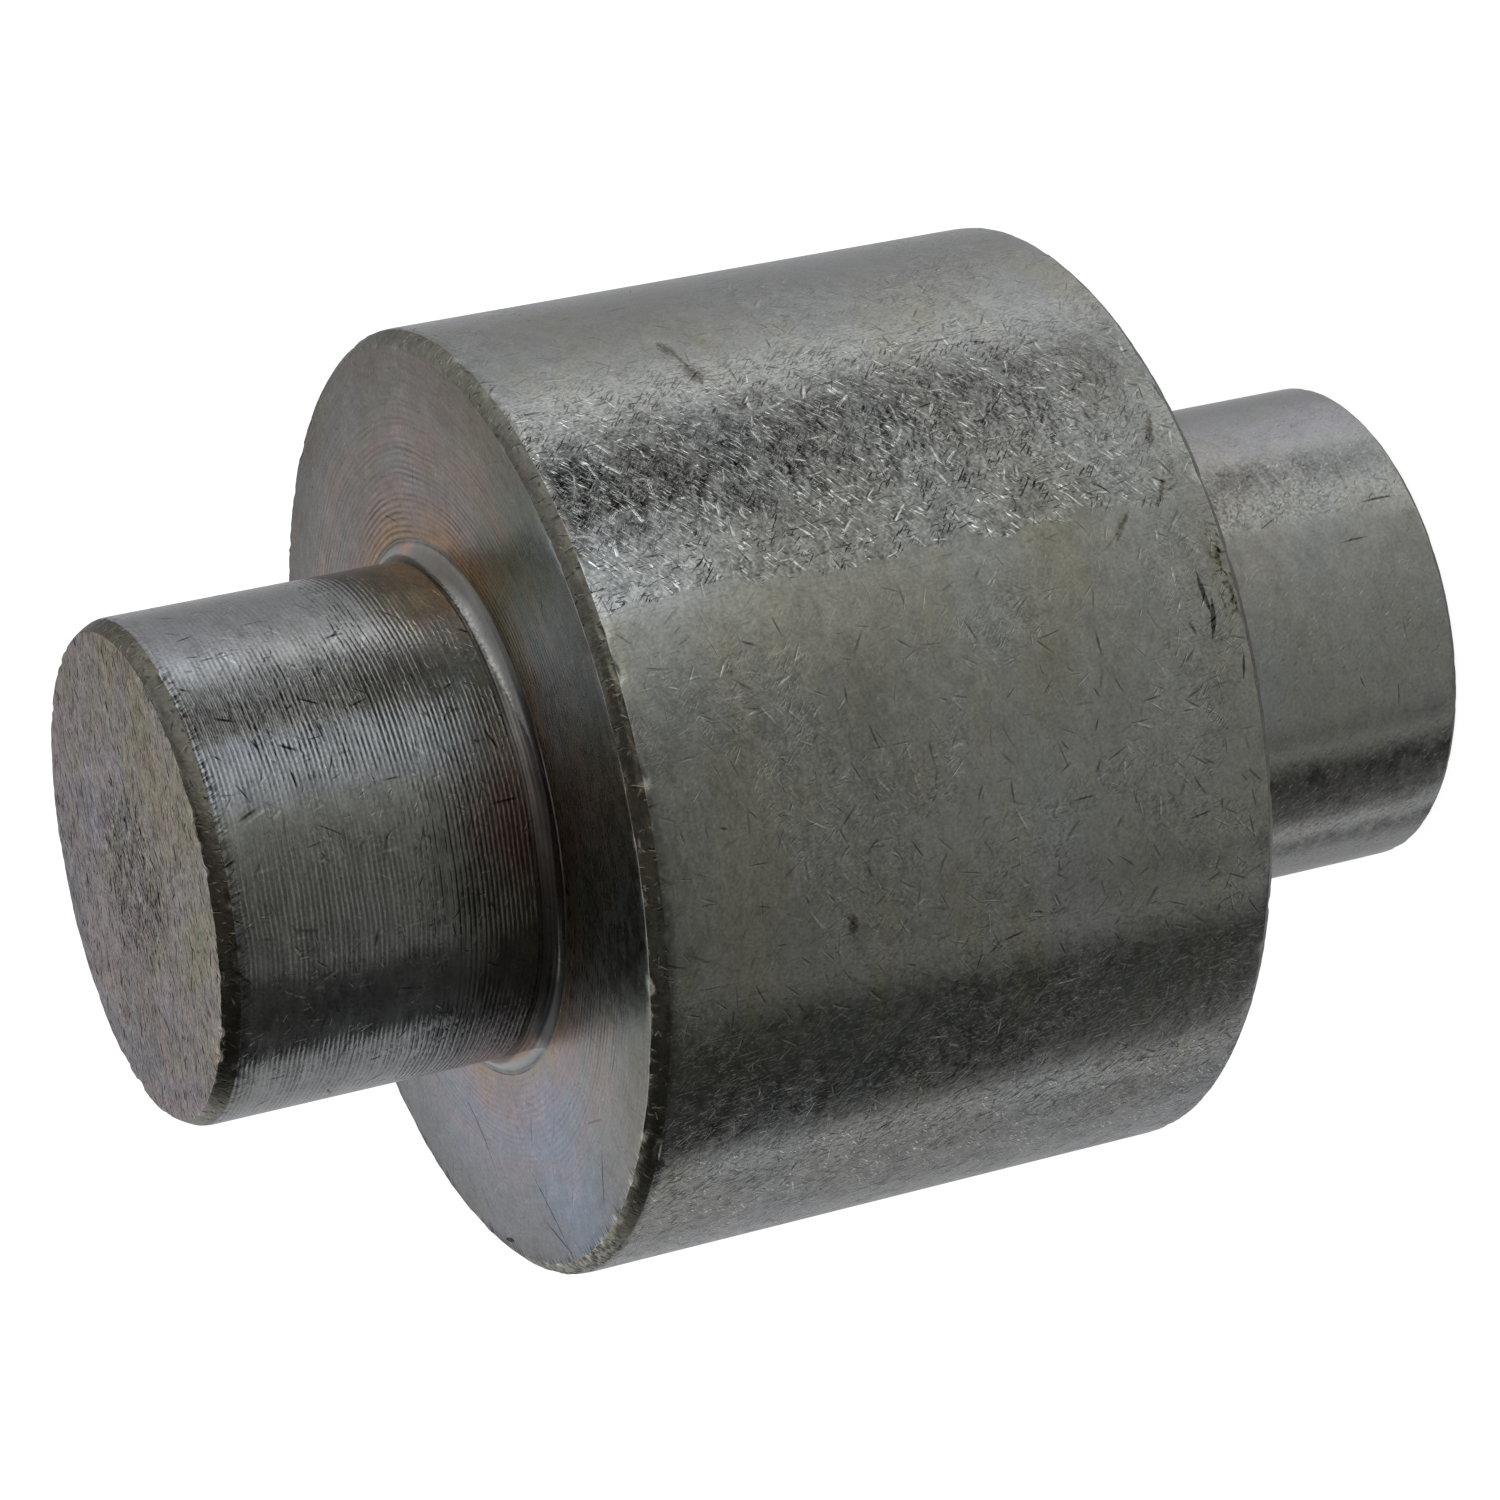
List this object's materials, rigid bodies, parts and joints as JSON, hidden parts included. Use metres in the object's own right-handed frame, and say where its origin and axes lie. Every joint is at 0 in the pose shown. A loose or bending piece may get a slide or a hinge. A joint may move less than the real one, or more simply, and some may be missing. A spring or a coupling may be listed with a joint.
{
  "type": "stepped shaft",
  "caption": "Solid turned steel roller: a wide barrel between two smaller plain journals, with filleted roots and chamfered edges.",
  "frame": {"origin": "centre of the lower journal's end face, which the shaft stands on", "axes": "+Z along the shaft's axis, from the lower journal to the upper journal with the tapered lead-in; X and Y are equal"},
  "size_m": [0.038, 0.038, 0.0535],
  "materials": {
    "plated_steel": "turned steel, thinly zinc plated and passivated, dull olive-grey with fine turning marks, handling scratches and burred edges"
  },
  "bodies": {
    "root": {"stepped_shaft": "plated_steel"}
  },
  "joints": []
}
